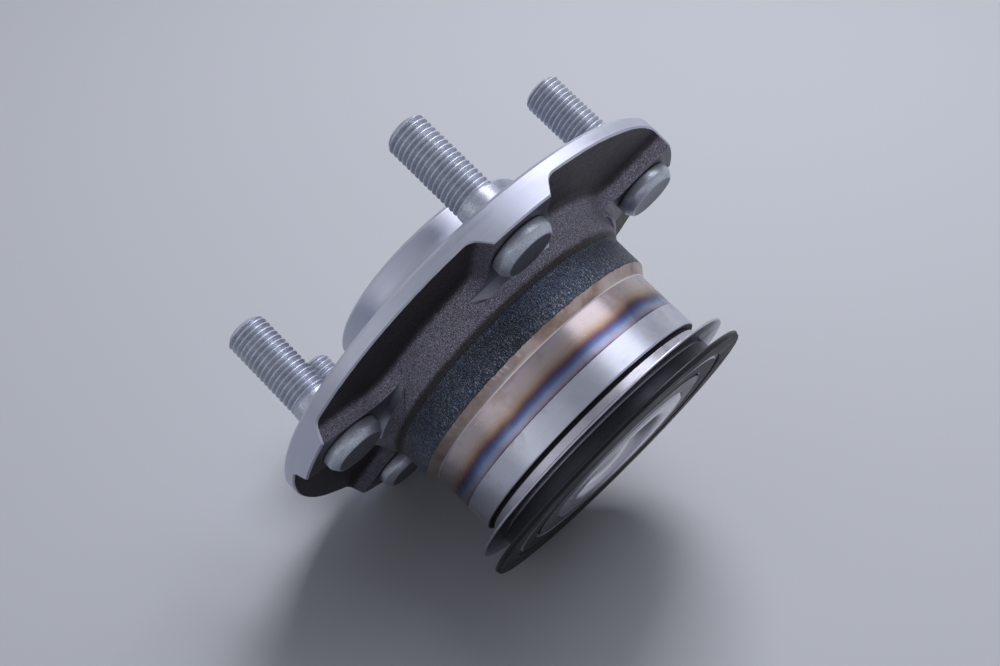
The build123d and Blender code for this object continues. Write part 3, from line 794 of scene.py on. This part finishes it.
def hub_shell():
    """Hub mesh. It has no stud holes: the pressed-in studs fill them."""
    rows = hub_rows()
    radius, z, angle, zone = (np.array([row[part] for row in rows]) for part in range(4))
    points = np.stack([radius * np.cos(angle), radius * np.sin(angle), z], -1)
    points = roughen(points, radius, z, zone)
    edge = np.nonzero(zone == CHAMFER)[0][0]
    edge_points = points[edge] * (1, 1, 0)
    wander = lattice_noise(edge_points, 0.35, 15) + lattice_noise(edge_points, 1.1, 16)
    points[edge, :, 2] += EDGE_WANDER * wander
    points[edge, :, :2] *= (1 + EDGE_WANDER_OUTWARD * wander)[:, None]
    strip = np.repeat(zone[:, None], HUB_COLUMNS, 1)
    following = np.roll(np.arange(HUB_COLUMNS), -1)
    level = on_seat_depth(z)
    level &= level[:, following]
    strip[:-1][level[:-1] & level[1:]] = SEAT
    faces = grid_faces(len(rows), HUB_COLUMNS, True)
    finish_mesh(
        "hub_body",
        points.reshape(-1, 3),
        faces,
        ZONES,
        "hub",
        ["hub"],
        strip.reshape(-1),
        sharp=32,
    )


hub_shell()


# ---- Studs -------------------------------------------------------------------------------
STUD_COLUMNS = 120
STUD_RADIUS = 6.0
STUD_REACH = 31.3
HEAD_RADIUS = 8.6
HEAD_END = -13.4
HEAD_BEVEL = 1.3
HEAD_BEVEL_LENGTH = 1.9
FACE_PAINTED_SHADE = 2.0             # painted shade on the head's flat end, as a root value: 1 is a thread root, 2 fully dark
KNURL_RADIUS = 6.3
KNURL_TEETH = 30
KNURL_ROWS = 6
# painted shade in the knurl's valleys
KNURL_PAINTED_SHADE = 0.6
KNURL_END = -1.5
THREAD_START = 5.0
THREAD_END = STUD_REACH - 1.3
THREAD_PITCH = 1.5
THREAD_CREST_RADIUS = 5.92
THREAD_DEPTH = 0.80
THREAD_RUN_IN = 1.2
THREAD_ROWS_PER_PITCH = 14
ROOT_FLAT = 0.08             # the flank's two ends, as shares of the way from root to crest
CREST_FLAT = 0.80
TIP_LENGTH = 0.9
TIP_TAPER = 0.95             # radius lost per millimetre of the tip
STUD_WEAR = 0.018
STUD_TWIST = 1.7             # from one stud's thread to the next one's, in radians
WEAR_SHIFT = 31.0            # from one stud's wear to the next one's, in millimetres


def thread_form(phase):
    """Thread depth from 0 at the crest to 1 at the root, for a phase of 0 to 1."""
    from_root = np.abs((phase % 1.0) - 0.5) * 2
    return np.clip((CREST_FLAT - from_root) / (CREST_FLAT - ROOT_FLAT), 0, 1)


def stud_points():
    """Rows (radius, z, root) of a stud along its own axis; root is the painted shade."""
    columns = np.arange(STUD_COLUMNS) * 2 * np.pi / STUD_COLUMNS
    ones = np.ones(STUD_COLUMNS)
    rows = []

    def ring(radius, z, root=0.0):
        rows.append((radius * ones, z * ones, root * ones))

    dish = HEAD_RADIUS - HEAD_BEVEL
    # the head's flat end carries painted shade
    ring(0.4, HEAD_END + 0.30, FACE_PAINTED_SHADE)
    ring(dish * 0.50, HEAD_END + 0.28, FACE_PAINTED_SHADE)
    ring(dish * 0.72, HEAD_END + 0.16, FACE_PAINTED_SHADE)
    ring(dish - 0.55, HEAD_END, FACE_PAINTED_SHADE)
    ring(dish - 0.12, HEAD_END + 0.02)
    ring(dish + 0.10, HEAD_END + 0.16)
    bevel_end = HEAD_END + HEAD_BEVEL_LENGTH
    ring(HEAD_RADIUS - 0.14, bevel_end - 0.16)
    ring(HEAD_RADIUS - 0.02, bevel_end + 0.10)
    ring(HEAD_RADIUS, bevel_end + 0.35)
    ring(HEAD_RADIUS, -BOSS_HEIGHT - 0.55)
    ring(HEAD_RADIUS - 0.14, -BOSS_HEIGHT - 0.16)
    ring(HEAD_RADIUS - 0.50, -BOSS_HEIGHT)
    ring(STUD_RADIUS + 0.4, -BOSS_HEIGHT)
    ring(STUD_RADIUS, -BOSS_HEIGHT + 0.3)
    # knurl valleys carry painted shade
    tooth = 0.5 + 0.5 * np.cos(columns * KNURL_TEETH)
    knurl = STUD_RADIUS + (KNURL_RADIUS - STUD_RADIUS) * tooth
    for z in np.linspace(-BOSS_HEIGHT + 0.9, KNURL_END - 0.4, KNURL_ROWS):
        rows.append((knurl, z * ones, KNURL_PAINTED_SHADE * (1 - tooth)))
    ring(STUD_RADIUS, KNURL_END)
    ring(STUD_RADIUS, 0.0)
    ring(STUD_RADIUS, THREAD_START - 0.5)
    ring(STUD_RADIUS - 0.03, THREAD_START - 0.2)
    row_height = THREAD_PITCH / THREAD_ROWS_PER_PITCH
    for z in np.arange(THREAD_START, THREAD_END + TIP_LENGTH, row_height):
        fade = min(1.0, (z - THREAD_START) / THREAD_RUN_IN)
        form = thread_form(z / THREAD_PITCH - columns / (2 * np.pi)) * fade
        tip = THREAD_CREST_RADIUS - max(0.0, z - THREAD_END) * TIP_TAPER
        radius = np.minimum(THREAD_CREST_RADIUS - THREAD_DEPTH * form, tip)
        # a row's thread depth is also its painted shade, darkest in the roots
        rows.append((radius, z * ones, form))
    ring(4.72, STUD_REACH - 0.18)
    ring(4.50, STUD_REACH)
    ring(2.6, STUD_REACH - 0.05)
    ring(1.8, STUD_REACH - 0.45)
    ring(0.3, STUD_REACH - 0.60)
    return columns, rows


def wheel_stud(number):
    """Headed, knurled and threaded stud in its boss."""
    columns, rows = stud_points()
    radius, z, root = (np.array([row[part] for row in rows]) for part in range(3))
    turn = columns + number * STUD_TWIST
    points = np.stack([radius * np.cos(turn), radius * np.sin(turn), z], -1)
    outward = np.stack([np.cos(turn), np.sin(turn), 0 * turn], -1)
    shifted = points + WEAR_SHIFT * number
    wear = lattice_noise(shifted, 0.5, 21) * 0.5 + lattice_noise(shifted, 1.4, 22)
    smooth = ((z > -BOSS_HEIGHT - 0.1) & (z < 0.2)) | (z > STUD_REACH - 0.3)
    points = points + (np.where(smooth, 0, STUD_WEAR) * wear)[..., None] * outward
    place = math.radians(FIRST_STUD_ANGLE + number * 360 / STUD_COUNT)
    points[..., 0] += STUD_CIRCLE_RADIUS * math.cos(place)
    points[..., 1] += STUD_CIRCLE_RADIUS * math.sin(place)
    faces = grid_faces(len(rows), STUD_COLUMNS, False)
    for first in (0, (len(rows) - 1) * STUD_COLUMNS):
        faces.append(tuple(range(first, first + STUD_COLUMNS)))
    finish_mesh(
        f"stud_{number + 1}",
        points.reshape(-1, 3),
        faces,
        [zinc],
        "hub",
        [f"wheel_stud_{number + 1}"],
        shades={"root": root.reshape(-1)},
        sharp=60,
    )


for number in range(STUD_COUNT):
    wheel_stud(number)


# ---- Rings on the hub and the inner rings --------------------------------------------------
SHEET = 0.75
SLEEVE_RADIUS = 37.02
DEFLECTOR_RADIUS = 45.0
DEFLECTOR_END = -51.65
DEFLECTOR_START = -47.8
ENCODER_RADIUS = 45.7
ENCODER_FACE = -57.1
ENCODER_START = -52.05
MAGNET_OUTER_RADIUS = 45.4
MAGNET_INNER_RADIUS = 38.2
MAGNET_FACE = -57.8


def pressed_flange(radius, disc_end, sleeve_start):
    """Outline of a sleeve with a disc flared out from its inboard end."""
    disc_top = disc_end + SHEET
    sleeve_outer = SLEEVE_RADIUS + SHEET
    return [
        (radius, disc_end, 0.33),
        (SLEEVE_RADIUS, disc_end, 0.60),
        (SLEEVE_RADIUS, sleeve_start, 0.10),
        (sleeve_outer, sleeve_start, 0.25),
        (sleeve_outer, disc_top, 0.45),
        (radius, disc_top, 0.33),
    ]


lathe(
    "deflector_ring",
    pressed_flange(DEFLECTOR_RADIUS, DEFLECTOR_END, DEFLECTOR_START),
    plated,
    "hub",
    ["dust_deflector"],
)
lathe(
    "encoder_ring",
    pressed_flange(ENCODER_RADIUS, ENCODER_FACE, ENCODER_START),
    coated,
    "hub",
    ["encoder_carrier"],
)
lathe(
    "magnet_ring",
    [
        (MAGNET_INNER_RADIUS, ENCODER_FACE, 0.0),
        (MAGNET_INNER_RADIUS, MAGNET_FACE, 0.35),
        (MAGNET_OUTER_RADIUS, MAGNET_FACE, 0.35),
        (MAGNET_OUTER_RADIUS, ENCODER_FACE, 0.0),
    ],
    magnet,
    "hub",
    ["encoder_magnet_ring"],
)


def use_material(prefix, material):
    """Gives the CAD nodes whose names start with prefix their finish."""
    for name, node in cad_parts.items():
        if name.startswith(prefix):
            node.data.materials.clear()
            node.data.materials.append(material)


use_material("ball_", lapped)
use_material("cage_", nylon)
use_material("inner_ring_", inner_steel)
use_material("inner_ring_clip", blued)
use_material("outboard_seal_core", stainless_painted_shade)
use_material("inboard_seal_core", stainless_painted_shade)
use_material("inboard_seal_slinger", stainless_painted_shade)
use_material("outboard_seal_lips", lips)
use_material("inboard_seal_lips", lips)


# ---- Camera ------------------------------------------------------------------------------
PHOTO_WIDTH = 1000
PHOTO_HEIGHT = 666
SENSOR = 36.0
CAMERA_DISTANCE = 392.8
CAMERA_AZIMUTH = -73.48      # degrees round the bearing axis, from +X
CAMERA_ELEVATION = -13.207   # below the flange's plane
CAMERA_YAW = 1.614
CAMERA_PITCH = 2.948
CAMERA_ROLL = -45.318
FOCAL_PIXELS = 1409.6
CENTRE_X = 496.0             # where the lens axis meets the picture, in pixels
CENTRE_Y = 388.8


def photo_camera():
    """Camera at the photograph's viewing angle. Gives the picture's right and the way it looks."""
    azimuth = math.radians(CAMERA_AZIMUTH)
    elevation = math.radians(CAMERA_ELEVATION)
    around = Vector((math.cos(azimuth), math.sin(azimuth), 0))
    place = around * math.cos(elevation) + Vector((0, 0, math.sin(elevation)))
    forward = -place
    right = forward.cross(Vector((0, 0, 1))).normalized()
    level = Matrix((right, -right.cross(forward), forward))
    turn = (
        Matrix.Rotation(math.radians(CAMERA_ROLL), 3, "Z")
        @ Matrix.Rotation(math.radians(CAMERA_PITCH), 3, "X")
        @ Matrix.Rotation(math.radians(CAMERA_YAW), 3, "Y")
    )
    right, down, forward = turn @ level
    camera = bpy.data.cameras.new("photo_camera")
    camera.sensor_width = SENSOR
    camera.lens = FOCAL_PIXELS / PHOTO_WIDTH * SENSOR
    camera.shift_x = (PHOTO_WIDTH / 2 - CENTRE_X) / PHOTO_WIDTH
    camera.shift_y = (CENTRE_Y - PHOTO_HEIGHT / 2) / PHOTO_WIDTH
    camera.clip_start = 0.01
    eye = bpy.data.objects.new("photo_camera", camera)
    turned_axes = Matrix((right, -down, -forward)).transposed().to_4x4()
    eye.matrix_world = Matrix.Translation(place * CAMERA_DISTANCE * MM) @ turned_axes
    bpy.context.scene.collection.objects.link(eye)
    bpy.context.scene.camera = eye
    return Vector(right), Vector(forward)


view_right, view_forward = photo_camera()


# ---- Floor, world and lamps ----------------------------------------------------------------
PALE = (0.66, 0.68, 0.72)    # the floor, and the surroundings at its level
BACKDROP = (0.55, 0.57, 0.63)  # the surroundings as the camera sees them
OVERHEAD = (0.30, 0.31, 0.35)
PALE_HEIGHT = 0.05           # sine of the height up to which the surroundings are pale
OVERHEAD_HEIGHT = 0.60
AMBIENT = 0.38
FLOOR_ROUGHNESS = 0.65
FLOOR_FADE = 0.45            # the floor starts to fade into the backdrop here, in metres
FLOOR_END = 1.25
REST_RIM = (FLANGE_RADIUS, -BOSS_HEIGHT + RIM_EDGE_BREAK)
REST_ENCODER = (ENCODER_RADIUS - 0.2, MAGNET_FACE + 0.3)
TURNS_TRIED = 3600           # round the bearing axis, to find how the unit lies
LAMP_TARGET = Vector((0, 0, -0.02))


def floor_frame():
    """Point where the flange rests on the floor, and the floor's upward normal."""
    slope = Vector((REST_RIM[1] - REST_ENCODER[1], REST_ENCODER[0] - REST_RIM[0])).normalized()

    def placed(angle, radius, z):
        return Vector((radius * math.cos(angle), radius * math.sin(angle), z))

    def upwards(angle):
        return -placed(angle, *slope)

    angles = (math.tau * step / TURNS_TRIED for step in range(TURNS_TRIED))
    seen_from_above = [a for a in angles if upwards(a).dot(view_forward) < 0]
    angle = min(seen_from_above, key=lambda a: abs(upwards(a).dot(view_right)))
    return placed(angle, *REST_RIM) * MM, upwards(angle).normalized()


touch_point, floor_up = floor_frame()


def stage_axes(up):
    """Rotation that takes +Z to up and keeps the picture's left and right."""
    side = (view_right - up * view_right.dot(up)).normalized()
    return Matrix((side, up.cross(side), up)).transposed()


def floor_plane():
    """Plain pale floor. It fades into the backdrop away from the unit, and from below it lets the
    view through, so it never hides the unit."""
    mesh = bpy.data.meshes.new("floor")
    corners = [(x * FLOOR_END, y * FLOOR_END, 0) for x, y in ((-1, -1), (1, -1), (1, 1), (-1, 1))]
    mesh.from_pydata(corners, [], [(0, 1, 2, 3)])
    plane = bpy.data.objects.new("floor", mesh)
    plane.matrix_world = Matrix.Translation(touch_point) @ stage_axes(floor_up).to_4x4()
    bpy.context.scene.collection.objects.link(plane)
    material = bpy.data.materials.new("floor")
    material.use_nodes = True
    tree = material.node_tree
    bsdf = tree.nodes["Principled BSDF"]
    bsdf.inputs["Base Color"].default_value = (*PALE, 1)
    bsdf.inputs["Roughness"].default_value = FLOOR_ROUGHNESS
    surface = add_node(tree, "NewGeometry").outputs
    between = ((0, surface["Position"]), (1, touch_point))
    away = add_node(tree, "VectorMath", between, operation="DISTANCE").outputs["Value"]
    limits = (("Value", away), ("From Min", FLOOR_FADE), ("From Max", FLOOR_END))
    fade = add_node(tree, "MapRange", limits, interpolation_type="SMOOTHSTEP").outputs["Result"]
    either = ((0, fade), (1, surface["Backfacing"]))
    hidden = add_node(tree, "Math", either, operation="MAXIMUM").outputs[0]
    clear = add_node(tree, "BsdfTransparent").outputs[0]
    mix = add_node(tree, "MixShader", ((0, hidden), (1, bsdf.outputs[0]), (2, clear)))
    join(tree, mix.outputs[0], tree.nodes["Material Output"].inputs["Surface"])
    mesh.materials.append(material)


def studio_world():
    """Soft surroundings, pale at floor level and greyer overhead.

    They light the unit at the ambient strength. Reflections and the view through glass see them
    in full, and the camera sees one plain colour.
    """
    world = bpy.data.worlds.new("studio")
    bpy.context.scene.world = world
    world.use_nodes = True
    tree = world.node_tree
    direction = add_node(tree, "TexCoord").outputs["Generated"]
    slope = ((0, direction), (1, floor_up))
    height = add_node(tree, "VectorMath", slope, operation="DOT_PRODUCT").outputs["Value"]
    sky = add_node(tree, "ValToRGB", [(0, height)])
    sky.color_ramp.interpolation = "EASE"
    stops = ((PALE_HEIGHT, PALE), (OVERHEAD_HEIGHT, OVERHEAD))
    for element, (position, colour) in zip(sky.color_ramp.elements, stops):
        element.position = position
        element.color = (*colour, 1)
    soft = tree.nodes["Background"]
    join(tree, sky.outputs[0], soft.inputs["Color"])
    soft.inputs["Strength"].default_value = AMBIENT
    ray = add_node(tree, "LightPath").outputs
    colours = (ray["Is Camera Ray"], sky.outputs[0], (*BACKDROP, 1))
    plain = add_node(tree, "MixRGB", enumerate(colours)).outputs[0]
    shown = add_node(tree, "Background", [("Color", plain)]).outputs[0]
    seen = ray["Is Camera Ray"]
    for kind in ("Is Glossy Ray", "Is Transmission Ray"):
        either = ((0, seen), (1, ray[kind]))
        seen = add_node(tree, "Math", either, operation="MAXIMUM").outputs[0]
    mix = add_node(tree, "MixShader", ((0, seen), (1, soft.outputs[0]), (2, shown)))
    join(tree, mix.outputs[0], tree.nodes["World Output"].inputs["Surface"])


def soft_lamp(name, right, up, back, width, height, power, colour):
    """Rectangular lamp aimed at the unit, placed along the picture's right, the floor's up and
    towards the camera, in metres."""
    towards = (-view_forward + floor_up * view_forward.dot(floor_up)).normalized()
    side = floor_up.cross(towards).normalized()
    place = LAMP_TARGET + side * right + floor_up * up + towards * back
    aim = (LAMP_TARGET - place).to_track_quat("-Z", "Y").to_matrix().to_4x4()
    lamp = bpy.data.lights.new(name, "AREA")
    lamp.shape = "RECTANGLE"
    lamp.size = width
    lamp.size_y = height
    lamp.energy = power
    lamp.color = colour
    holder = bpy.data.objects.new(name, lamp)
    holder.matrix_world = Matrix.Translation(place) @ aim
    bpy.context.scene.collection.objects.link(holder)


floor_plane()
studio_world()
soft_lamp("key", 0.12, 0.72, -0.48, 0.60, 0.40, 4.4, (0.92, 0.93, 1.0))
soft_lamp("sweep", 0.34, 0.84, -0.12, 0.60, 0.50, 1.3, (0.92, 0.93, 1.0))
soft_lamp("fill", -0.65, 0.50, 0.50, 0.90, 0.80, 0.5, (0.92, 0.94, 1.0))

bpy.context.scene.view_settings.view_transform = "Standard"
